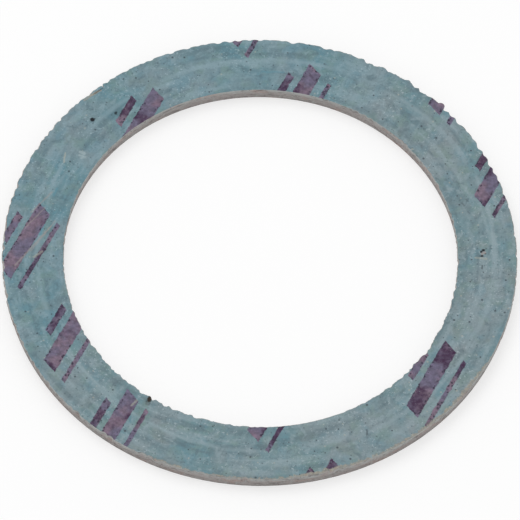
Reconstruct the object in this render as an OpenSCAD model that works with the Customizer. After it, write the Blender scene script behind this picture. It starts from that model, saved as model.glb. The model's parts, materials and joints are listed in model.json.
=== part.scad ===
// Exhaust ring gasket, cut in one piece from compressed fibre sheet.
// The origin is the centre of the bore on the underside. +Z leaves the printed face, and the ring lies flat.
// The cutter entered at the printed face and left bitten lips there.
// The lower half of each wall broke away behind the cut.

/* [Ring] */
// Bore that the exhaust gas passes through, at the printed face
bore_d = 50; // [20:0.5:120]
// Width of the printed face, from the bore to the outside
face_w = 7.75; // [4:0.05:20]
// Thickness of the fibre sheet
sheet_t = 2; // [1.5:0.1:4]
// How far the outside was cut off the bore's centre
off_centre = 0.15; // [0:0.05:0.5]
// Which way it was cut off centre, in degrees from +X
off_centre_angle = 205; // [0:1:359]
// Width of the broken arris round the printed face
arris = 0.08; // [0.02:0.01:0.2]

/* [Walls] */
// Height of the straight lip that was cut below the printed face
lip_h = 0.6; // [0.3:0.05:0.7]
// Height of the slope below the lip, down to the straight foot of the wall
slope_h = 0.6; // [0.2:0.05:0.7]
// How far the foot of the outside wall stands back from its lip
outside_undercut = 0.3; // [0.05:0.01:0.5]
// How far the foot of the bore's wall stands back from its lip
bore_undercut = 0.22; // [0.05:0.01:0.5]

/* [Cut edges] */
// Width of the nose of the cutter that nibbled the edges
cutter_nose = 0.3; // [0.1:0.05:0.8]
// Slope of the cutter's flanks, in degrees from the edge
cutter_flank = 25; // [10:1:45]
// Distance between the cutter's bites along the outside
outside_pitch = 1.4; // [1:0.05:3]
// Deepest bite out of the outside at the printed face
outside_bite = 0.34; // [0.05:0.01:0.5]
// Where the outside's bites are shallowest, there and across the ring, in degrees from +X
outside_calm = 150; // [0:1:359]
// Distance between the cutter's bites along the bore
bore_pitch = 1.0; // [0.8:0.05:3]
// Deepest bite out of the bore at the printed face
bore_bite = 0.22; // [0.05:0.01:0.4]
// Where the bore's bites are shallowest, there and across the ring, in degrees from +X
bore_calm = 110; // [0:1:359]
// Share of the full bite that is left there
calm_share = 0.3; // [0:0.05:1]
// Share of the pitch by which a bite strays from its place
bite_stray = 0.3; // [0:0.01:0.4]
// How far down the wall a bite fades for each millimetre of its depth
bite_fade = 8; // [2:0.5:10]

/* [Edge damage] */
// Where the outside is nicked, in degrees from +X
nick_angle = 129.5; // [0:0.5:359.5]
// Width of the nick at the edge
nick_width = 0.3; // [0.1:0.05:0.8]
// Depth of the nick into the edge
nick_depth = 0.5; // [0.1:0.05:1]
// Length of the split that runs from the nick along the edge
split_length = 1.7; // [0.5:0.1:4]
// Width of the split
split_width = 0.1; // [0.05:0.01:0.3]
// How far down the wall the nick and the split go
split_drop = 0.5; // [0.2:0.05:0.7]
// Where a burr stands out of the outside edge, in degrees from +X
burr_angle = 46; // [0:0.5:359.5]
// Width of the burr along the edge
burr_width = 1.1; // [1.1:0.05:2]
// How far the burr stands out
burr_height = 0.3; // [0.1:0.05:0.4]
// How far down the wall the burr runs out
burr_drop = 0.6; // [0.4:0.05:0.7]

/* [Hidden] */
$fn = 128;
burr_fn = 32;
bore_r = bore_d / 2;
outside_r = bore_r + face_w;
foot_h = sheet_t - lip_h - slope_h;
// How far a cutting shape stands past the face that it cuts
past = 0.1;
// The shallowest bite, as a share of the deepest at its place
shallowest = 0.2;
// Seeds for the bites along each edge
outside_seed = 11;
bore_seed = 29;

// Share of the full bite at an angle, for an edge that was cut calmly about calm_angle and across from it
function bite_share(angle, calm_angle) =
    let (calm = (1 + cos(2 * (angle - calm_angle))) / 2)
    1 - (1 - calm_share) * calm * calm;

// Bites along an edge of radius r, each as [angle, depth]
function bites(r, pitch, deepest, seed) =
    let (
        count = floor(2 * PI * r / pitch),
        stray = rands(-bite_stray, bite_stray, count, seed),
        share = rands(shallowest, 1, count, seed + 1)
    )
    [
        for (i = [0 : count - 1])
            [360 * (i + stray[i]) / count, deepest * share[i]]
    ];

// Moves the outside and all that belongs to it off the bore's centre
module outside_place() {
    rotate(off_centre_angle)
        translate([off_centre, 0, 0])
            rotate(-off_centre_angle)
                children();
}

// The disc that the outside cut leaves, with its upper arris broken
module blank() {
    rotate_extrude()
        polygon([
            [0, 0],
            [outside_r - outside_undercut, 0],
            [outside_r - outside_undercut, foot_h],
            [outside_r, sheet_t - lip_h],
            [outside_r, sheet_t - arris],
            [outside_r - arris, sheet_t],
            [0, sheet_t]
        ]);
}

// What the bore takes out, flared at the upper arris
module bore() {
    rotate_extrude()
        polygon([
            [0, -past],
            [bore_r + bore_undercut, -past],
            [bore_r + bore_undercut, foot_h],
            [bore_r, sheet_t - lip_h],
            [bore_r, sheet_t - arris],
            [bore_r + arris + past, sheet_t + past],
            [0, sheet_t + past]
        ]);
}

// One bite into an edge, with +X out of the material: deepest at the printed face, and out of the wall below
module bite(depth) {
    mouth = cutter_nose / 2 + (depth + past) / tan(cutter_flank);
    drop = depth * bite_fade + past;
    rotate([0, -atan(1 / bite_fade), 0])
        translate([0, 0, -drop])
            linear_extrude(drop + past)
                polygon([
                    [-depth, -cutter_nose / 2],
                    [past, -mouth],
                    [past, mouth],
                    [-depth, cutter_nose / 2]
                ]);
}

// The short bites round the outside
module outside_bites() {
    for (b = bites(outside_r, outside_pitch, outside_bite, outside_seed))
        rotate(b[0])
            translate([outside_r, 0, sheet_t])
                bite(b[1] * bite_share(b[0], outside_calm));
}

// The short bites round the bore
module bore_bites() {
    for (b = bites(bore_r, bore_pitch, bore_bite, bore_seed))
        rotate(b[0])
            translate([bore_r, 0, sheet_t])
                rotate(180)
                    bite(b[1] * bite_share(b[0], bore_calm));
}

// The nick in the outside edge: a V that goes part of the way down the wall
module nick() {
    half = nick_width / 2 * (1 + past / nick_depth);
    linear_extrude(split_drop + past)
        polygon([
            [outside_r - nick_depth, 0],
            [outside_r + past, -half],
            [outside_r + past, half]
        ]);
}

// The split that runs from the nick's root along the edge and leaves a loose sliver outside it
module split() {
    translate([outside_r - nick_depth - split_width / 2, -split_width / 2, 0])
        cube([split_width, split_length, split_drop + past]);
}

module edge_damage() {
    translate([0, 0, sheet_t - split_drop])
        rotate(nick_angle) {
            nick();
            split();
        }
}

// The burr that the cutter left standing out of the outside edge: a cone that runs out into the wall
module burr() {
    top_r = burr_width / 2;
    drop = burr_drop + past;
    rotate(burr_angle)
        translate([outside_r + burr_height - top_r, 0, sheet_t - drop])
            cylinder(h = drop, r1 = top_r - burr_height * drop / burr_drop, r2 = top_r, $fn = burr_fn);
}

module gasket_ring() {
    color("cadetblue")
        union() {
            difference() {
                outside_place() blank();
                bore();
                outside_place() outside_bites();
                bore_bites();
                outside_place() edge_damage();
            }
            outside_place() burr();
        }
}

gasket_ring();
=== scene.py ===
import json
import math
from typing import NamedTuple

import bpy
import numpy as np
from mathutils import Matrix, Vector, noise
from mathutils.bvhtree import BVHTree


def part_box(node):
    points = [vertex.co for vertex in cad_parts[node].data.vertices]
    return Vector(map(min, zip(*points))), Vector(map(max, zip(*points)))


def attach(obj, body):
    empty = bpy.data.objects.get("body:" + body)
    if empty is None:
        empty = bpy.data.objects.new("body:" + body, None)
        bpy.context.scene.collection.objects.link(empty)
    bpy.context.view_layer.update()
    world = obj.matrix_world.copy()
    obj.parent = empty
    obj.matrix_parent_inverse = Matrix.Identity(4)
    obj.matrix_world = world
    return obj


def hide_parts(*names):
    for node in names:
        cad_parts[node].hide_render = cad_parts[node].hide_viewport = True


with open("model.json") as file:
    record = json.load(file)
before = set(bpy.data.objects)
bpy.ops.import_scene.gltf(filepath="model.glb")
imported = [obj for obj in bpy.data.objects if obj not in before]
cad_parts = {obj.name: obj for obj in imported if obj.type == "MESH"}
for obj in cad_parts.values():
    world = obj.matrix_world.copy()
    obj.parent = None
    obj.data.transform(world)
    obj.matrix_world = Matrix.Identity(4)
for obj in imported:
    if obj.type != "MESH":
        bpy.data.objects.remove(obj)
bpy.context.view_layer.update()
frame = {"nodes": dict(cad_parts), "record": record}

# Lengths are in millimetres, as in the part's source. Blender works in metres.
MM = 0.001

# The photograph and its camera
IMAGE_PX = 520
PX_PER_MM = 7.868
RING_CENTRE_PX = (259.45, 261.85)
ELEVATION_DEG = 58.71
ROLL_DEG = 1.57
CAMERA_DISTANCE = 1950.0
CAMERA_CLIP = (100.0, 10000.0)
SENSOR_WIDTH = 36.0

# The ring, as packed
RING_NODE = "gasket_ring"
ring_low, ring_high = (np.array(corner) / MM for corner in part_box(RING_NODE))
SHEET_T = ring_high[2]
RING_CENTRE = (ring_low + ring_high) / 2
BORE_R = next(m["dims"]["r_mm"] for m in frame["record"]["mounts"] if m["name"] == "bore")
MIDDLE_R = (BORE_R + ring_high[0]) / 2

# The dense mesh: steps round the ring, and the loops of its section.
# Wall loops are shares of the thickness. Edge loops are insets from the upper edge of each wall.
STEPS_ROUND = 2000
WALL_LOOPS = (0.0, 0.015, 0.13, 0.27, 0.4, 0.5, 0.6, 0.7, 0.8, 0.88, 0.96, 0.998)
OUTSIDE_EDGE_LOOPS = (0.04, 0.1, 0.2, 0.32, 0.41, 0.44, 0.52)
BORE_EDGE_LOOPS = (0.04, 0.1, 0.2, 0.4)
FACE_LOOPS = 9
UNDER_LOOPS = 4
# The distance from the upper edge that is noted for the underside, where no edge is worn
UNDER_EDGE = 1.0

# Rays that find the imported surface: how far they stay off both faces,
# and where those from outside start, as a share of the ring's reach
RAY_MARGIN = 0.003
RAY_START = 1.2

# Relief that is pressed into the ring's skin: its depth, and its swings per millimetre along each axis
WALL_RELIEF = 0.05
WALL_RELIEF_SCALES = (1.1, 1.1, 3.5)
FACE_RELIEF = 0.02
FACE_RELIEF_SCALES = (0.9, 0.9, 0.0)

# The noise behind relief and frays: its fall and its step from octave to octave, and their number
OCTAVES = (1.0, 2.0, 3)

# Stretches where the fibre frays at the upper edges: the middle and the half span in degrees,
# how far the edge lies back there, how much that varies, and the least that it comes to.
# Where fibre stands out past the cut edge, the edge lies back by less than 0.
OUTSIDE_FRAYS = {
    "left": (160, 48, 0.05, 0.3, 0.0),
    "upper_right": (62, 16, 0.03, 0.3, -0.1),
    "small_tooth": (56.0, 0.8, -0.2, 0.0, -0.2),
}
BORE_FRAYS = {
    "near_left": (240, 36, -0.05, 0.3, -0.15),
    "near_right": (328, 36, 0.04, 0.26, -0.1),
    "step_in_edge": (322.4, 2.6, -0.18, 0.1, -0.2),
}
FRAYS_PER_MM = 1.0
FRAY_LIMIT = 0.25
# How far a fray reaches into the face, and the share of the thickness below which the wall has none
FRAY_INSET = 0.6
FRAY_FOOT = 0.55

# The floor, which lies just under the ring: the white of the light that it throws back,
# and the grey and the glow that the camera sees
FLOOR_HALF = 2000.0
FLOOR_DROP = 0.02
FLOOR_WHITE = 0.8
FLOOR_SEEN = 0.45
FLOOR_GLOW = 0.6

# The sky's strength as a light and where it is seen, and the key lamp
SKY_LIGHT = 0.7
SKY_SEEN = 1.0
SKY_WHITE = (1.0, 1.0, 1.0, 1.0)
KEY_PLACE = (-350.0, 350.0, 900.0)
KEY_SIZE = 800.0
KEY_WATTS = 2.2


def shade(red, green, blue):
    """A colour given as it shows on a screen, from 0 to 255, in the linear values that a shader takes."""
    def linear(value):
        value /= 255
        return value / 12.92 if value <= 0.04045 else ((value + 0.055) / 1.055) ** 2.4
    return (linear(red), linear(green), linear(blue), 1.0)


# Colours of the sheet's faces
TEAL = shade(113, 145, 152)
TEAL_GREY = shade(133, 151, 156)
TEAL_PALE = shade(149, 170, 176)
TEAL_BLUE = shade(98, 147, 163)
TEAL_GREEN = shade(126, 151, 144)
TEAL_DARK = shade(97, 119, 126)
SHEET_GREY = shade(134, 143, 146)
FLECK = shade(170, 189, 193)
CRUMB = shade(84, 104, 110)
CREAM = shade(182, 184, 170)
PINKISH = shade(165, 158, 155)
WARM_GREY = shade(144, 143, 138)
TAN = shade(166, 158, 144)
BLACK = shade(24, 28, 33)
SOOT = shade(72, 84, 90)
BURNT = shade(52, 45, 38)

# Colours of the cut walls. The low one is the middle one a little darker: painted shade towards the wall's
# foot.
WALL_PALE = shade(174, 176, 174)
WALL_MIDDLE = shade(171, 165, 163)
WALL_LOW_SHADED = shade(164, 158, 156)
WALL_RED = shade(174, 149, 141)
WALL_DARK = shade(118, 112, 110)

# Colours of the ink
INK_BLUE = shade(106, 98, 122)
INK_PINK = shade(124, 104, 122)
INK_DARK = shade(40, 24, 50)
INK_POOL = shade(58, 18, 60)


class Noise(NamedTuple):
    """A noise in a material. Its place is stretched and shifted first, then scaled to swings."""
    scale: float
    detail: float = 2.0
    roughness: float = 0.5
    shift: tuple = (0.0, 0.0, 0.0)
    stretch: tuple = (1.0, 1.0, 1.0)


class Paint(NamedTuple):
    """A colour that a noise brings in: not at all where its value is start, up to the strength at full."""
    start: float
    full: float
    colour: tuple
    strength: float = 1.0


class Grain(NamedTuple):
    """A noise that a colour is multiplied by: the factor where the noise is 0, and what it gains up to 1."""
    noise: Noise
    base: float
    gain: float


# In what follows, limits are the values at which something starts to show and shows in full.
# A wander is a place moved about by noise: its swings per millimetre, and how far it reaches.

# Places where the sheet's noise is taken. One is smeared by a wander.
SMEAR_WANDER = (0.3, 1.6)
# One turns with the ring, so that its noise makes streaks: the radius of that turn,
# and the rate at which it rises outwards
STREAK_TURN_R = 3.5
STREAKS_PER_MM = 0.95
# One is drawn out along the fibres: the direction in which they lie, the rates along and across them,
# and the level in the noise
FIBRE_LIE_DEG = 66
FIBRES_ALONG = 0.13
FIBRES_ACROSS = 1.1
FIBRE_LEVEL = 5.0

# Layers of the bare sheet over its teal, from the lowest: the place, the noise and its paints
SHEET_LAYERS = {
    "grey_clouds": ("flat", Noise(0.1), Paint(0.38, 0.62, TEAL_GREY)),
    "blue_patches": ("flat", Noise(0.4, 3.0, shift=(40.0, 0.0, 0.0)),
                     Paint(0.46, 0.66, TEAL_BLUE, 0.35)),
    "green_patches": ("flat", Noise(0.45, 3.0, shift=(0.0, 40.0, 0.0)),
                      Paint(0.46, 0.66, TEAL_GREEN, 0.55)),
    "grey_patches": ("smeared", Noise(0.3, 3.0, shift=(0.0, 70.0, 0.0)),
                     Paint(0.5, 0.66, SHEET_GREY, 0.35)),
    "streaks": ("round", Noise(1.0, 4.0),
                Paint(0.5, 0.66, TEAL_PALE, 0.5), Paint(0.48, 0.32, TEAL_DARK, 0.5)),
    "fibres": ("fibres", Noise(1.0, 4.0, 0.6),
               Paint(0.54, 0.68, TEAL_PALE, 0.3), Paint(0.46, 0.32, TEAL_DARK, 0.25)),
    "mottle": ("smeared", Noise(0.8, 4.0, 0.6, shift=(0.0, 0.0, 20.0)),
               Paint(0.52, 0.67, TEAL_PALE, 0.55), Paint(0.46, 0.31, TEAL_DARK, 0.6)),
}
SHEET_GRAIN = Grain(Noise(3.6, roughness=0.6), 0.8, 0.4)

# Flecks and crumbs: the noise of the crowds that they lie in, their own noise and its paint
SHEET_CROWDS = {
    "flecks": (Noise(0.22, shift=(0.0, 0.0, 60.0)), Noise(2.6, 3.0, 0.7, (0.0, 0.0, 80.0)),
               Paint(0.58, 0.64, FLECK, 0.75)),
    "crumbs": (Noise(0.25, shift=(30.0, 0.0, 60.0)), Noise(2.4, 3.0, 0.7, (30.0, 0.0, 80.0)),
               Paint(0.4, 0.34, CRUMB, 0.6)),
}
CROWD_LIMITS = (0.42, 0.58)

# Specks: the shift of their grid, its pitch, the share of its places that has a speck,
# the largest radius, the colour and its strength
SHEET_SPECKS = {
    "pale": ((0.0, 0.0, 0.0), 2.1, 0.35, 0.15, CREAM, 0.45),
    "fine": ((3.7, 8.9, 0.0), 0.8, 0.3, 0.12, CRUMB, 0.6),
    "dark": ((7.3, 2.1, 0.0), 1.6, 0.35, 0.16, SOOT, 0.85),
}
# The smallest speck as a share of the largest, and the limits of a speck's border in its own radius
SPECK_LEAST = 0.3
SPECK_LIMITS = (1.3, 0.6)

# The pale line that a seat has pressed into the sheet: a circle off the ring's centre, with breaks
SEAT_CENTRE = (0.65, 0.5)
SEAT_R = 29.1
SEAT_WANDER = (0.4, 0.25)
SEAT_LIMITS = (0.5, 0.05)
SEAT_BREAKS = Noise(0.16, 3.0, shift=(0.0, 25.0, 25.0))
SEAT_BREAK_LIMITS = (0.38, 0.56)
SEAT_STRENGTH = 0.5

# The sheet is bluer on one side of the ring and greyer on the other: factors on its colour,
# the direction of the blue side, and its limits as shares of the way to the ring's middle line there
GREY_TINT = (1.03, 1.0, 1.01, 1.0)
BLUE_TINT = (0.905, 0.975, 1.02, 1.0)
BLUE_SIDE_DEG = 135
BLUE_LIMITS = (0.05, 0.5)

# The side on which the outside edge is worn, and where it is worn most, with limits of the same kind
WORN_SIDE_DEG = 290
WORN_LIMITS = (0.6, 0.95)
MOST_WORN_DEG = 310
MOST_WORN_LIMITS = (0.97, 1.08)
# How far on either side of the face's middle line the wear fades out towards the bore
WORN_FADE = 1.0
# How far the wear reaches in from the edge in its patches, the more where it is most, and how far it stays
# short of the edge elsewhere
WORN_REACH = 0.35
MOST_WORN_REACH = 0.14
UNWORN_SHORT = 0.5
WORN_PATCHES = Noise(0.12, shift=(3.0, 50.0, 0.0))
WORN_PATCH_LIMITS = (0.3, 0.65)
WORN_RAG = Noise(1.5, 4.0, 0.7)
WORN_RAG_SWING = 1.5
WORN_SOFT = 0.12
WORN_STRENGTH = 0.85
# Layers of the worn edge over its warm grey
WORN_LAYERS = {
    "tan": ("flat", Noise(2.4, 3.0, 0.6), Paint(0.42, 0.58, TAN)),
    "chips": ("flat", Noise(2.6, 3.0, 0.7, (60.0, 0.0, 0.0)), Paint(0.55, 0.62, CREAM, 0.75)),
}

# Layers of the cut walls. Fibre that lies flat shifts the heights at which the colours change, the edge of
# the painted shade at the foot among them.
WALL_WAVES = Noise(1.0, 4.0, 0.6, stretch=(0.5, 0.5, 3.4))
WALL_WAVE_SWING = 0.9
WALL_MIDDLE_LIMITS = (0.1, 0.8)
WALL_PALE_LIMITS = (1.35, 1.9)
WALL_LAYERS = {
    "red_patches": ("wall", Noise(1.0, stretch=(0.3, 0.3, 1.2)), Paint(0.54, 0.66, WALL_RED, 0.55)),
    "seams": ("wall", Noise(1.0, 3.0, 0.55, (9.0, 0.0, 0.0), (0.6, 0.6, 4.5)),
              Paint(0.48, 0.34, WALL_DARK, 0.75)),
    "chips": ("wall", Noise(2.2, 3.0, 0.6),
              Paint(0.54, 0.66, WALL_PALE, 0.8), Paint(0.42, 0.3, WALL_DARK, 0.7)),
}
WALL_GRAIN = Grain(Noise(5.0, roughness=0.6), 0.78, 0.5)
# The limits between face and wall in the mesh's own note of them
WALL_LIMITS = (0.2, 0.8)

# The print is a plain repeat: a bold slanted bar, a thin line and a short bar, on a leaning lattice.
# Each has its offset across the slant, its half width and its half length.
PRINT_STEP_A = (20.0, 4.2)
PRINT_STEP_B = (-6.0, 13.6)
PRINT_START = (3.0, 1.0)
PRINT_SLANT_DEG = 64
PRINT_SHEAR = 0.45
PRINT_BARS = {
    "bold_bar": (0.0, 1.05, 5.4),
    "thin_line": (2.6, 0.3, 5.4),
    "short_bar": (-2.4, 0.5, 2.2),
}
# How far below the printed face the print and the marks start to show, and show in full
PRINT_DEPTHS = (0.6, 0.5)

# The ink's border, how much of the sheet it covers, and its pinholes
INK_WANDER = (1.6, 0.16)
INK_RAG_WANDER = (5.0, 0.1)
INK_SOFT = 0.05
INK_COVER = 0.96
PINHOLES = Noise(4.5)
PINHOLE_LIMITS = (0.34, 0.26)
PINHOLE_SHARE = 0.6
# Its shades, its clouds, and the pools in which it stands thick and the clouds thin out
INK_LAYERS = {"pink": ("flat", Noise(0.35, 3.0), Paint(0.42, 0.62, INK_PINK))}
INK_CLOUDS = Noise(1.6, 4.0, 0.65, (21.0, 3.0, 0.0))
INK_CLOUD_GAIN = 2.0
INK_POOLS = Noise(0.22, 3.0, shift=(15.0, 9.0, 0.0))
INK_POOL_LIMITS = (0.52, 0.6)
INK_POOL_THICK = 1.7
INK_POOL_THINS = 1.8
# Dark dots: many along stretches of the outline, and few elsewhere
OUTLINE_LIMITS = (-0.4, -0.2)
HEAVY_OUTLINE = Noise(0.7, shift=(5.0, 31.0, 0.0))
HEAVY_LIMITS = (0.36, 0.5)
DOT_WANDER = (1.3, 0.2)
DOT_PITCH = 0.42
DOT_SHARE = 0.7
DOT_RADIUS = 0.24
DOTS_IN_OUTLINE = 0.85
DOTS_ELSEWHERE = 0.08

# How the surface takes light
SHEET_ROUGHNESS = 0.82
INK_SMOOTHS = 0.2
SPECULAR = 0.3
BUMP = Noise(4.0, 4.0, 0.65)
BUMP_STRENGTH = 0.35
BUMP_DEPTH = 0.06

# Streaks in the sheet, which lie under the ink, and marks, which lie over it:
# where each starts and ends in the photograph, its half width, its colour and strength.
STREAKS_PX = {
    "blue_line_low": ((20.5, 253.0), (32.0, 243.5), 0.16, TEAL_BLUE, 0.7),
    "blue_line_mid": ((40.0, 234.0), (43.8, 224.5), 0.17, TEAL_BLUE, 0.8),
    "blue_line_high": ((53.5, 195.5), (56.5, 188.5), 0.14, TEAL_BLUE, 0.7),
    "arc_scratch_a": ((60.0, 345.0), (100.0, 385.0), 0.16, TEAL_PALE, 0.7),
    "arc_scratch_b": ((100.0, 385.0), (135.0, 413.0), 0.14, TEAL_PALE, 0.6),
    "arc_scratch_c": ((140.0, 417.0), (192.0, 441.0), 0.13, TEAL_PALE, 0.5),
    "right_streak": ((480.0, 203.0), (492.0, 244.0), 0.2, TEAL_PALE, 0.45),
    "low_scratch": ((228.0, 458.5), (300.0, 459.0), 0.09, TEAL_PALE, 0.6),
    "top_line": ((262.0, 70.5), (284.0, 70.8), 0.1, TEAL_BLUE, 0.6),
    "cluster_shade": ((490.4, 246.0), (488.6, 254.0), 0.14, TEAL_DARK, 0.6),
}
MARKS_PX = {
    "speck_by_nick": ((91.6, 118.8), (92.0, 120.2), 0.29, BLACK, 1.0),
    "tail_by_nick": ((92.3, 122.0), (92.3, 123.0), 0.07, SOOT, 0.7),
    "speck_right_of_nick": ((115.0, 112.2), (116.0, 111.4), 0.21, BLACK, 0.85),
    "dot_below_nick": ((105.5, 101.8), (105.5, 101.8), 0.09, BLACK, 0.6),
    "dot_left_of_it": ((92.5, 101.7), (92.5, 101.7), 0.09, SOOT, 0.7),
    "cluster_top": ((483.4, 250.4), (484.6, 250.3), 0.19, BLACK, 1.0),
    "cluster_left": ((481.4, 251.8), (481.8, 251.6), 0.16, BLACK, 1.0),
    "cluster_right": ((485.2, 253.6), (485.6, 253.4), 0.14, BLACK, 0.9),
    "cluster_low": ((482.2, 255.8), (482.8, 255.2), 0.18, BLACK, 0.95),
    "cluster_faint_left": ((480.2, 256.0), (480.6, 255.8), 0.11, SOOT, 0.8),
    "cluster_faint_high": ((486.2, 248.6), (486.6, 248.2), 0.11, SOOT, 0.7),
    "cluster_pale": ((482.6, 253.6), (484.6, 252.6), 0.18, PINKISH, 0.8),
    "cluster_smear": ((475.5, 257.8), (486.0, 258.6), 0.16, CREAM, 0.4),
    "dash_below_cluster": ((482.0, 265.4), (482.0, 268.4), 0.11, SOOT, 0.8),
    "speck_near_edge": ((255.5, 476.0), (255.9, 476.9), 0.15, SOOT, 0.85),
    "speck_beside_it": ((246.8, 476.8), (247.2, 477.0), 0.1, SOOT, 0.8),
    "dash_low_right": ((366.0, 428.5), (366.4, 433.5), 0.1, SOOT, 0.7),
    "burnt_spot": ((150.4, 397.2), (149.8, 399.6), 0.24, BURNT, 1.0),
    "burnt_halo": ((150.0, 398.6), (148.6, 402.6), 0.3, BURNT, 0.4),
    "long_scratch": ((15.5, 265.0), (51.0, 226.0), 0.11, PINKISH, 0.5),
    "upper_scratch": ((31.0, 212.0), (51.5, 192.0), 0.1, PINKISH, 0.45),
    "scratch_beside_it": ((24.0, 229.0), (45.0, 207.0), 0.08, PINKISH, 0.4),
    "lower_scratch": ((31.0, 251.0), (55.0, 221.0), 0.08, PINKISH, 0.4),
    "cream_scrape": ((34.0, 257.0), (42.0, 251.5), 0.15, CREAM, 0.4),
    "soot_in_scrape": ((37.2, 262.5), (38.2, 266.5), 0.1, SOOT, 0.5),
    "scuff_high": ((79.6, 151.4), (83.4, 153.0), 0.2, FLECK, 0.6),
    "scuff_middle": ((78.6, 154.6), (82.6, 155.6), 0.14, FLECK, 0.6),
    "scuff_low": ((81.0, 157.6), (84.4, 156.6), 0.16, FLECK, 0.5),
    "cream_hair": ((64.6, 152.6), (63.4, 162.0), 0.11, CREAM, 0.55),
    "smudge_high": ((466.4, 199.0), (468.4, 201.4), 0.1, SOOT, 0.5),
    "smudge_middle": ((462.4, 203.2), (464.6, 205.4), 0.12, SOOT, 0.45),
    "smudge_low": ((468.4, 211.4), (469.8, 213.4), 0.1, SOOT, 0.45),
    "pale_dash": ((132.5, 404.5), (137.5, 399.5), 0.12, CREAM, 0.45),
    "tan_sliver": ((99.5, 89.2), (90.0, 94.2), 0.17, TAN, 0.8),
    "tan_tail": ((90.0, 94.6), (83.5, 99.0), 0.12, TAN, 0.55),
}
MARK_WANDER = (1.8, 0.14)
STREAK_SOFT = 0.15
MARK_SOFT = 0.09


# Camera axes in the row frame: right, up and back towards the camera, with the photograph's roll.
elevation = math.radians(ELEVATION_DEG)
roll = math.radians(ROLL_DEG)
level_right = np.array([1.0, 0.0, 0.0])
level_up = np.array([0.0, math.sin(elevation), math.cos(elevation)])
camera_right = math.cos(roll) * level_right + math.sin(roll) * level_up
camera_up = -math.sin(roll) * level_right + math.cos(roll) * level_up
camera_back = np.array([0.0, -math.cos(elevation), math.sin(elevation)])
centre_off_px = np.array([RING_CENTRE_PX[0] - IMAGE_PX / 2, IMAGE_PX / 2 - RING_CENTRE_PX[1]])
camera_aim = RING_CENTRE - (centre_off_px[0] * camera_right + centre_off_px[1] * camera_up) / PX_PER_MM


def face_point(pixel):
    """The place on the printed face, in millimetres, that shows at a pixel of the photograph."""
    right = (pixel[0] - IMAGE_PX / 2) / PX_PER_MM
    up = (IMAGE_PX / 2 - pixel[1]) / PX_PER_MM
    point = camera_aim + right * camera_right + up * camera_up
    return point + camera_back * (SHEET_T - point[2]) / camera_back[2]


def add_camera():
    data = bpy.data.cameras.new("photo_camera")
    data.sensor_width = SENSOR_WIDTH
    data.lens = PX_PER_MM * CAMERA_DISTANCE * SENSOR_WIDTH / IMAGE_PX
    data.clip_start = CAMERA_CLIP[0] * MM
    data.clip_end = CAMERA_CLIP[1] * MM
    camera = bpy.data.objects.new("photo_camera", data)
    place = Matrix(np.column_stack([camera_right, camera_up, camera_back]).tolist()).to_4x4()
    place.translation = Vector(camera_aim + CAMERA_DISTANCE * camera_back) * MM
    camera.matrix_world = place
    bpy.context.scene.collection.objects.link(camera)
    bpy.context.scene.camera = camera


def cad_surface():
    """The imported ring's surface, in millimetres, for rays to hit."""
    mesh = frame["nodes"][RING_NODE].data
    corners = [v.co / MM for v in mesh.vertices]
    return BVHTree.FromPolygons(corners, [tuple(p.vertices) for p in mesh.polygons])


def hit(surface, start, direction):
    point = surface.ray_cast(Vector(start), Vector(direction))[0]
    if point is None:
        raise RuntimeError(f"no ring surface on the way from {start}")
    return np.array(point)


def radius_of(point):
    return np.linalg.norm(point[:2])


def shift_points(points, step, shares):
    """Moves each of the points in place by its share of a step."""
    for point, share in zip(points, shares):
        point += step * share


def pressed(point, scales, depth):
    """How far the relief is pressed in at a point: from 0 to the depth, with bare stretches at 0."""
    value = noise.fractal(Vector(point * np.array(scales)), *OCTAVES)
    return depth * min(max(value, 0.0), 1.0)


def frayed(frays, angle, radius):
    """How far an edge of this radius lies back at an angle."""
    turned = radius * FRAYS_PER_MM
    swing = noise.fractal(Vector((turned * math.cos(angle), turned * math.sin(angle), 0.0)), *OCTAVES)
    back = 0.0
    for middle, half_span, depth, variation, least in frays.values():
        away = abs((math.degrees(angle) - middle + 180) % 360 - 180) / half_span
        back += max(1 - away ** 2, 0.0) * max(depth + variation * swing, least)
    return min(back, FRAY_LIMIT)


def wall_points(surface, out):
    """Points up the outside wall and up the bore's wall, with the lowest and the topmost on the faces."""
    far = ring_high[0] * RAY_START
    levels = np.clip(np.array(WALL_LOOPS) * SHEET_T, RAY_MARGIN, SHEET_T - RAY_MARGIN)
    outside = [hit(surface, out * far + [0, 0, z], -out) for z in levels]
    bore = [hit(surface, np.array([0, 0, z]), out) for z in levels]
    outside[0][2] = bore[0][2] = 0.0
    outside[-1][2] = bore[-1][2] = SHEET_T
    return outside, bore


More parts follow.
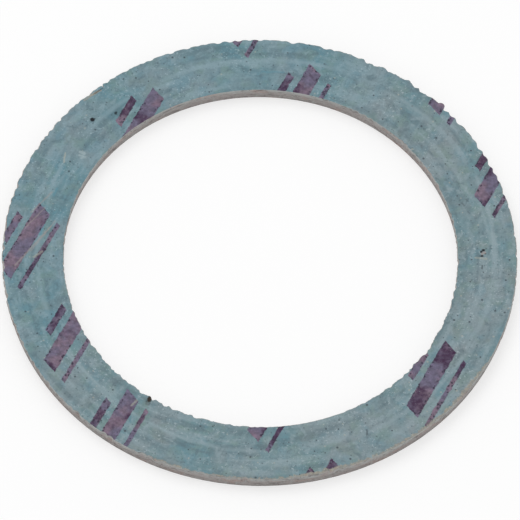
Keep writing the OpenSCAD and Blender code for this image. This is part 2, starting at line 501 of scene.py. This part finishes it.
def section(surface, angle):
    """One section through the ring, up the outside, over the face, down the bore and back underneath.

    Gives the points, for each its distance from the upper edge along the face, and 1 for each on a wall.
    """
    out = np.array([math.cos(angle), math.sin(angle), 0.0])
    outside, bore = wall_points(surface, out)
    r_out = radius_of(outside[-1])
    r_in = radius_of(bore[-1])
    rim = r_out - np.array(OUTSIDE_EDGE_LOOPS)
    lip = r_in + np.array(BORE_EDGE_LOOPS)
    middle = np.linspace(rim[-1], lip[-1], FACE_LOOPS + 2)[1:-1]
    radii = np.concatenate([rim, middle, lip[::-1]])
    face = [hit(surface, out * r + [0, 0, 2 * SHEET_T], (0, 0, -1)) for r in radii]
    under_radii = np.linspace(radius_of(bore[0]), radius_of(outside[0]), UNDER_LOOPS + 2)[1:-1]
    under = [out * r for r in under_radii]

    outside_step = -out * frayed(OUTSIDE_FRAYS, angle, r_out)
    bore_step = out * frayed(BORE_FRAYS, angle, r_in)
    wall_shares = np.clip((np.array(WALL_LOOPS) - FRAY_FOOT) / (1 - FRAY_FOOT), 0.0, 1.0)
    shift_points(outside, outside_step, wall_shares)
    shift_points(bore, bore_step, wall_shares)
    shift_points(face, outside_step, np.maximum(1 - (r_out - radii) / FRAY_INSET, 0.0))
    shift_points(face, bore_step, np.maximum(1 - (radii - r_in) / FRAY_INSET, 0.0))

    # The foot of each wall and its two topmost loops have no relief.
    for point in outside[1:-2]:
        point -= out * pressed(point, WALL_RELIEF_SCALES, WALL_RELIEF)
    for point in bore[1:-2]:
        point += out * pressed(point, WALL_RELIEF_SCALES, WALL_RELIEF)
    for point in face:
        point[2] -= pressed(point, FACE_RELIEF_SCALES, FACE_RELIEF)

    walls = len(WALL_LOOPS)
    edge = np.minimum(r_out - radii, radii - r_in)
    points = outside + face + bore[::-1] + under
    edges = [0.0] * walls + edge.tolist() + [0.0] * walls + [UNDER_EDGE] * UNDER_LOOPS
    on_wall = [1.0] * walls + [0.0] * len(face) + [1.0] * walls + [0.0] * UNDER_LOOPS
    return points, edges, on_wall


def build_ring():
    surface = cad_surface()
    sections = [section(surface, i * 2 * math.pi / STEPS_ROUND) for i in range(STEPS_ROUND)]
    loops = len(sections[0][0])
    corners = np.array([s[0] for s in sections]).reshape(-1, 3) * MM
    faces = []
    for i in range(STEPS_ROUND):
        here = i * loops
        there = (i + 1) % STEPS_ROUND * loops
        for j in range(loops):
            k = (j + 1) % loops
            faces.append((here + j, there + j, there + k, here + k))
    mesh = bpy.data.meshes.new("fibre_ring")
    mesh.from_pydata(corners.tolist(), [], faces)
    mesh.polygons.foreach_set("use_smooth", [True] * len(faces))
    for name, column in (("edge", 1), ("wall", 2)):
        values = [value for s in sections for value in s[column]]
        mesh.attributes.new(name, "FLOAT", "POINT").data.foreach_set("value", values)
    mesh.update()
    ring = bpy.data.objects.new("fibre_ring", mesh)
    bpy.context.scene.collection.objects.link(ring)
    return ring


# Where a mix node has its colours among its sockets
MIX_A = 6
MIX_B = 7
MIX_RESULT = 2


class Graph:
    """Short ways to add nodes to a shader: each takes numbers or sockets and gives back a socket."""

    def __init__(self, tree):
        self.tree = tree

    def feed(self, socket, value):
        if isinstance(value, bpy.types.NodeSocket):
            self.tree.links.new(value, socket)
        else:
            socket.default_value = value

    def math(self, operation, *values, clamp=False):
        node = self.tree.nodes.new("ShaderNodeMath")
        node.operation = operation
        node.use_clamp = clamp
        for socket, value in zip(node.inputs, values):
            self.feed(socket, value)
        return node.outputs[0]

    def vector(self, operation, *values):
        node = self.tree.nodes.new("ShaderNodeVectorMath")
        node.operation = operation
        for socket, value in zip(node.inputs, values):
            self.feed(socket, value)
        scalar = operation in ("DOT_PRODUCT", "DISTANCE", "LENGTH")
        return node.outputs["Value" if scalar else "Vector"]

    def scaled(self, vector, factor):
        node = self.tree.nodes.new("ShaderNodeVectorMath")
        node.operation = "SCALE"
        self.feed(node.inputs["Vector"], vector)
        self.feed(node.inputs["Scale"], factor)
        return node.outputs["Vector"]

    def parts(self, vector):
        node = self.tree.nodes.new("ShaderNodeSeparateXYZ")
        self.feed(node.inputs[0], vector)
        return node.outputs[0], node.outputs[1], node.outputs[2]

    def joined(self, x, y, z):
        node = self.tree.nodes.new("ShaderNodeCombineXYZ")
        for socket, value in zip(node.inputs, (x, y, z)):
            self.feed(socket, value)
        return node.outputs[0]

    def attribute(self, name):
        node = self.tree.nodes.new("ShaderNodeAttribute")
        node.attribute_name = name
        return node.outputs["Fac"]

    def ramp(self, value, low, high):
        """A soft step: 0 at low, 1 at high, either way round."""
        node = self.tree.nodes.new("ShaderNodeMapRange")
        node.interpolation_type = "SMOOTHSTEP"
        self.feed(node.inputs["Value"], value)
        self.feed(node.inputs["From Min"], low)
        self.feed(node.inputs["From Max"], high)
        return node.outputs[0]

    def mix(self, factor, a, b):
        node = self.tree.nodes.new("ShaderNodeMix")
        node.data_type = "RGBA"
        self.feed(node.inputs[0], factor)
        self.feed(node.inputs[MIX_A], a)
        self.feed(node.inputs[MIX_B], b)
        return node.outputs[MIX_RESULT]

    def over(self, colour, mask, paint, strength):
        """A colour with paint over it where the mask is 1, up to the strength."""
        return self.mix(self.math("MULTIPLY", mask, strength), colour, paint)

    def noise_node(self, at, settings):
        node = self.tree.nodes.new("ShaderNodeTexNoise")
        place = self.vector("MULTIPLY_ADD", at, settings.stretch, settings.shift)
        self.feed(node.inputs["Vector"], place)
        node.inputs["Scale"].default_value = settings.scale
        node.inputs["Detail"].default_value = settings.detail
        node.inputs["Roughness"].default_value = settings.roughness
        return node

    def noise(self, at, settings):
        return self.noise_node(at, settings).outputs[0]

    def shows(self, at, settings, limits):
        """0 to 1, as a noise goes from the first limit to the second."""
        return self.ramp(self.noise(at, settings), *limits)

    def swing(self, at, settings, reach):
        """A noise that goes up and down about 0, by half the reach each way."""
        return self.math("MULTIPLY_ADD", self.noise(at, settings), reach, -reach / 2)

    def wander(self, at, scale, reach):
        """The place, moved about by noise of up to the reach."""
        colour = self.noise_node(at, Noise(scale)).outputs[1]
        shift = self.scaled(self.vector("SUBTRACT", colour, (0.5, 0.5, 0.5)), 2 * reach)
        return self.vector("ADD", at, self.vector("MULTIPLY", shift, (1.0, 1.0, 0.0)))

    def painted(self, colour, layers, **places):
        """A colour with layers over it. Each is taken at one of the places and has one or more paints."""
        for place, settings, *paints in layers.values():
            value = self.noise(places[place], settings)
            for paint in paints:
                mask = self.ramp(value, paint.start, paint.full)
                colour = self.over(colour, mask, paint.colour, paint.strength)
        return colour

    def grained(self, colour, at, grain):
        factor = self.math("MULTIPLY_ADD", self.noise(at, grain.noise), grain.gain, grain.base)
        return self.scaled(colour, factor)

    def specks(self, at, pitch, share, radius):
        """Round specks on a share of the places of a loose grid."""
        node = self.tree.nodes.new("ShaderNodeTexVoronoi")
        node.voronoi_dimensions = "2D"
        self.feed(node.inputs["Vector"], at)
        node.inputs["Scale"].default_value = 1 / pitch
        chance, size_share, _ = self.parts(node.outputs["Color"])
        largest = radius / pitch
        size = self.math("MULTIPLY_ADD", size_share, (1 - SPECK_LEAST) * largest, SPECK_LEAST * largest)
        dot = self.ramp(self.math("DIVIDE", node.outputs["Distance"], size), *SPECK_LIMITS)
        return self.math("MULTIPLY", dot, self.math("LESS_THAN", chance, share))

    def stroke(self, at, start, end, half, soft):
        """1 within a half width of the line from start to end, and 0 beyond the soft border."""
        axis = np.array(end) - np.array(start)
        length = float(np.linalg.norm(axis))
        if length < half:
            away = self.vector("DISTANCE", at, tuple(start))
        else:
            along = axis / length ** 2
            share = self.math("SUBTRACT", self.vector("DOT_PRODUCT", at, tuple(along)),
                              float(np.dot(start, along)), clamp=True)
            nearest = self.vector("ADD", self.scaled(tuple(axis), share), tuple(start))
            away = self.vector("DISTANCE", at, nearest)
        return self.ramp(away, half + soft, half - soft)


def toward(g, flat, degrees):
    """How far a place lies in a direction: 1 on the ring's middle line there, and -1 across from it."""
    angle = math.radians(degrees)
    return g.vector("DOT_PRODUCT", flat, (math.cos(angle) / MIDDLE_R, math.sin(angle) / MIDDLE_R, 0.0))


def round_place(g, flat):
    """A place for noise that runs in streaks round the ring."""
    x, y, _ = g.parts(flat)
    radius = g.vector("LENGTH", flat)
    return g.joined(g.math("MULTIPLY", g.math("DIVIDE", x, radius), STREAK_TURN_R),
                    g.math("MULTIPLY", g.math("DIVIDE", y, radius), STREAK_TURN_R),
                    g.math("MULTIPLY", radius, STREAKS_PER_MM))


def fibre_place(g, flat):
    """A place for noise that is drawn out along the fibres."""
    lie = math.radians(FIBRE_LIE_DEG)
    along = (FIBRES_ALONG * math.cos(lie), FIBRES_ALONG * math.sin(lie), 0.0)
    across = (FIBRES_ACROSS * math.sin(lie), -FIBRES_ACROSS * math.cos(lie), 0.0)
    return g.joined(g.vector("DOT_PRODUCT", flat, along), g.vector("DOT_PRODUCT", flat, across), FIBRE_LEVEL)


def seat_line(g, flat):
    """1 on the line that a seat has pressed into the sheet, and 0 off it and in its breaks."""
    from_centre = g.vector("DISTANCE", g.wander(flat, *SEAT_WANDER), SEAT_CENTRE + (0.0,))
    away = g.math("ABSOLUTE", g.math("SUBTRACT", from_centre, SEAT_R))
    unbroken = g.shows(flat, SEAT_BREAKS, SEAT_BREAK_LIMITS)
    return g.math("MULTIPLY", g.ramp(away, *SEAT_LIMITS), unbroken)


def face_colour(g, flat):
    """The bare sheet: patches, streaks, fibres and mottle, then grain, flecks, specks and the seat's line."""
    colour = g.painted(TEAL, SHEET_LAYERS, flat=flat, smeared=g.wander(flat, *SMEAR_WANDER),
                       round=round_place(g, flat), fibres=fibre_place(g, flat))
    colour = g.grained(colour, flat, SHEET_GRAIN)
    for crowd, settings, paint in SHEET_CROWDS.values():
        crowded = g.shows(flat, crowd, CROWD_LIMITS)
        mask = g.math("MULTIPLY", g.shows(flat, settings, (paint.start, paint.full)), crowded)
        colour = g.over(colour, mask, paint.colour, paint.strength)
    for shift, pitch, share, radius, paint, strength in SHEET_SPECKS.values():
        mask = g.specks(g.vector("ADD", flat, shift), pitch, share, radius)
        colour = g.over(colour, mask, paint, strength)
    colour = g.over(colour, seat_line(g, flat), TEAL_PALE, SEAT_STRENGTH)
    tint = g.mix(g.ramp(toward(g, flat, BLUE_SIDE_DEG), *BLUE_LIMITS), GREY_TINT, BLUE_TINT)
    return g.vector("MULTIPLY", colour, tint)


def print_distance(g, at):
    """Signed distance from the outline of the printed bars, less than 0 inside the ink."""
    step_a = np.array(PRINT_STEP_A + (0.0,))
    step_b = np.array(PRINT_STEP_B + (0.0,))
    inverse = np.linalg.inv(np.column_stack([step_a, step_b, (0.0, 0.0, 1.0)]))
    local = g.vector("SUBTRACT", at, PRINT_START + (0.0,))
    share_a = g.math("SUBTRACT", g.math("FRACT", g.vector("DOT_PRODUCT", local, tuple(inverse[0]))), 0.5)
    share_b = g.math("SUBTRACT", g.math("FRACT", g.vector("DOT_PRODUCT", local, tuple(inverse[1]))), 0.5)
    cell = g.vector("ADD", g.scaled(tuple(step_a), share_a), g.scaled(tuple(step_b), share_b))
    slant = math.radians(PRINT_SLANT_DEG)
    along = g.vector("DOT_PRODUCT", cell, (math.cos(slant), math.sin(slant), 0.0))
    across = g.vector("DOT_PRODUCT", cell, (math.sin(slant), -math.cos(slant), 0.0))
    along = g.math("MULTIPLY_ADD", across, PRINT_SHEAR, along)
    nearest = None
    for offset, half_width, half_length in PRINT_BARS.values():
        side = g.math("SUBTRACT", g.math("ABSOLUTE", g.math("SUBTRACT", across, offset)), half_width)
        end = g.math("SUBTRACT", g.math("ABSOLUTE", along), half_length)
        away = g.math("MAXIMUM", side, end)
        nearest = away if nearest is None else g.math("MINIMUM", nearest, away)
    return nearest


def inked(g, flat, colour, printed):
    """The face's colour with the ink over it, and where the ink lies."""
    ragged = g.wander(g.wander(flat, *INK_WANDER), *INK_RAG_WANDER)
    away = print_distance(g, ragged)
    pinholes = g.shows(flat, PINHOLES, PINHOLE_LIMITS)
    cover = g.math("MULTIPLY_ADD", pinholes, -PINHOLE_SHARE, INK_COVER)
    body = g.math("MULTIPLY", g.ramp(away, INK_SOFT, -INK_SOFT), cover)
    body = g.math("MULTIPLY", body, printed)

    ink = g.painted(INK_BLUE, INK_LAYERS, flat=flat)
    clouds = g.noise(flat, INK_CLOUDS)
    ink = g.scaled(ink, g.math("MULTIPLY", clouds, INK_CLOUD_GAIN))
    thickness = g.math("MULTIPLY_ADD", clouds, -INK_POOL_THINS, INK_POOL_THICK)
    pools = g.math("MULTIPLY", g.shows(flat, INK_POOLS, INK_POOL_LIMITS), thickness, clamp=True)
    ink = g.mix(pools, ink, INK_POOL)

    heavy = g.shows(flat, HEAVY_OUTLINE, HEAVY_LIMITS)
    outline = g.math("MULTIPLY", g.ramp(away, *OUTLINE_LIMITS), heavy)
    dots = g.specks(g.wander(flat, *DOT_WANDER), DOT_PITCH, DOT_SHARE, DOT_RADIUS)
    dotted = g.math("MULTIPLY_ADD", outline, DOTS_IN_OUTLINE, DOTS_ELSEWHERE)
    ink = g.over(ink, dotted, INK_DARK, dots)
    return g.mix(body, colour, ink), body


def with_marks(g, at, face, marks, soft, printed):
    """The face's colour with strokes over it, on the printed side alone."""
    for start_px, end_px, half, colour, strength in marks.values():
        start = face_point(start_px)
        end = face_point(end_px)
        start[2] = end[2] = 0.0
        mask = g.math("MULTIPLY", g.stroke(at, start, end, half, soft), printed)
        face = g.over(face, mask, colour, strength)
    return face


def with_wear(g, flat, edge, face):
    """The face's colour with the worn outside edge over it, where the sheet's own fibre shows."""
    near = g.math("MULTIPLY", g.ramp(toward(g, flat, WORN_SIDE_DEG), *WORN_LIMITS),
                  g.ramp(g.vector("LENGTH", flat), MIDDLE_R - WORN_FADE, MIDDLE_R + WORN_FADE))
    patches = g.shows(flat, WORN_PATCHES, WORN_PATCH_LIMITS)
    patch_reach = g.math("MULTIPLY_ADD", patches, WORN_REACH, UNWORN_SHORT)
    reach = g.math("MULTIPLY_ADD", near, patch_reach, -UNWORN_SHORT)
    most = g.ramp(toward(g, flat, MOST_WORN_DEG), *MOST_WORN_LIMITS)
    reach = g.math("MULTIPLY_ADD", most, MOST_WORN_REACH, reach)
    ragged = g.math("ADD", edge, g.swing(flat, WORN_RAG, WORN_RAG_SWING))
    worn = g.ramp(g.math("SUBTRACT", ragged, reach), WORN_SOFT, -WORN_SOFT)
    return g.over(face, worn, g.painted(WARM_GREY, WORN_LAYERS, flat=flat), WORN_STRENGTH)


def wall_colour(g, place, height):
    """A cut wall: layers of fibre that lie flat, pale above and a little darker at the foot, which is painted
    shade, with dark seams, chips and reddish patches.
    """
    level = g.math("ADD", height, g.swing(place, WALL_WAVES, WALL_WAVE_SWING))
    # Painted shade: the wall turns a little darker towards its foot.
    colour = g.mix(g.ramp(level, *WALL_MIDDLE_LIMITS), WALL_LOW_SHADED, WALL_MIDDLE)
    colour = g.mix(g.ramp(level, *WALL_PALE_LIMITS), colour, WALL_PALE)
    colour = g.painted(colour, WALL_LAYERS, wall=place)
    return g.grained(colour, place, WALL_GRAIN)


def fibre_material():
    material = bpy.data.materials.new("fibre")
    material.use_nodes = True
    tree = material.node_tree
    g = Graph(tree)
    place = g.scaled(tree.nodes.new("ShaderNodeTexCoord").outputs["Object"], 1 / MM)
    x, y, height = g.parts(place)
    flat = g.joined(x, y, 0.0)
    marked = g.wander(flat, *MARK_WANDER)
    printed = g.ramp(height, *(SHEET_T - depth for depth in PRINT_DEPTHS))

    face = face_colour(g, flat)
    face = with_marks(g, marked, face, STREAKS_PX, STREAK_SOFT, printed)
    face, ink = inked(g, flat, face, printed)
    face = with_marks(g, marked, face, MARKS_PX, MARK_SOFT, printed)
    face = with_wear(g, flat, g.attribute("edge"), face)
    wall = g.ramp(g.attribute("wall"), *WALL_LIMITS)

    bump = tree.nodes.new("ShaderNodeBump")
    bump.inputs["Strength"].default_value = BUMP_STRENGTH
    bump.inputs["Distance"].default_value = BUMP_DEPTH * MM
    g.feed(bump.inputs["Height"], g.noise(place, BUMP))

    bsdf = tree.nodes["Principled BSDF"]
    g.feed(bsdf.inputs["Base Color"], g.mix(wall, face, wall_colour(g, place, height)))
    g.feed(bsdf.inputs["Roughness"], g.math("MULTIPLY_ADD", ink, -INK_SMOOTHS, SHEET_ROUGHNESS))
    g.feed(bsdf.inputs["Normal"], bump.outputs["Normal"])
    bsdf.inputs["Specular IOR Level"].default_value = SPECULAR
    return material


def seen_rays(g):
    """1 for rays that come from the camera, also by a mirror or through glass, and 0 for the rest."""
    path = g.tree.nodes.new("ShaderNodeLightPath")
    indirect = g.math("MAXIMUM", path.outputs["Is Glossy Ray"], path.outputs["Is Transmission Ray"])
    return g.math("MAXIMUM", path.outputs["Is Camera Ray"], indirect)


def floor_material():
    """White for the light that it throws back, but darker and glowing where it is seen: a faint shadow."""
    material = bpy.data.materials.new("floor")
    material.use_nodes = True
    tree = material.node_tree
    tree.nodes.clear()
    g = Graph(tree)
    seen = seen_rays(g)
    diffuse = tree.nodes.new("ShaderNodeBsdfDiffuse")
    g.feed(diffuse.inputs["Color"], g.math("MULTIPLY_ADD", seen, FLOOR_SEEN - FLOOR_WHITE, FLOOR_WHITE))
    glow = tree.nodes.new("ShaderNodeEmission")
    g.feed(glow.inputs["Strength"], g.math("MULTIPLY", seen, FLOOR_GLOW))
    add = tree.nodes.new("ShaderNodeAddShader")
    g.feed(add.inputs[0], diffuse.outputs[0])
    g.feed(add.inputs[1], glow.outputs[0])
    out = tree.nodes.new("ShaderNodeOutputMaterial")
    g.feed(out.inputs["Surface"], add.outputs[0])
    return material


def add_floor():
    half = FLOOR_HALF * MM
    z = -FLOOR_DROP * MM
    corners = [(-half, -half, z), (half, -half, z), (half, half, z), (-half, half, z)]
    mesh = bpy.data.meshes.new("floor")
    mesh.from_pydata(corners, [], [(0, 1, 2, 3)])
    mesh.materials.append(floor_material())
    floor = bpy.data.objects.new("floor", mesh)
    bpy.context.scene.collection.objects.link(floor)


def add_light():
    world = bpy.data.worlds.new("studio")
    bpy.context.scene.world = world
    world.use_nodes = True
    sky = world.node_tree.nodes["Background"]
    sky.inputs["Color"].default_value = SKY_WHITE
    g = Graph(world.node_tree)
    g.feed(sky.inputs["Strength"], g.math("MULTIPLY_ADD", seen_rays(g), SKY_SEEN - SKY_LIGHT, SKY_LIGHT))
    data = bpy.data.lights.new("key", "AREA")
    data.shape = "DISK"
    data.size = KEY_SIZE * MM
    data.energy = KEY_WATTS
    key = bpy.data.objects.new("key", data)
    key.location = Vector(KEY_PLACE) * MM
    key.rotation_euler = (-key.location).to_track_quat("-Z", "Y").to_euler()
    bpy.context.scene.collection.objects.link(key)


add_camera()
add_floor()
add_light()
ring = build_ring()
ring.data.materials.append(fibre_material())
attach(ring, "root")
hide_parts(RING_NODE)

bpy.context.scene.view_settings.view_transform = "Standard"
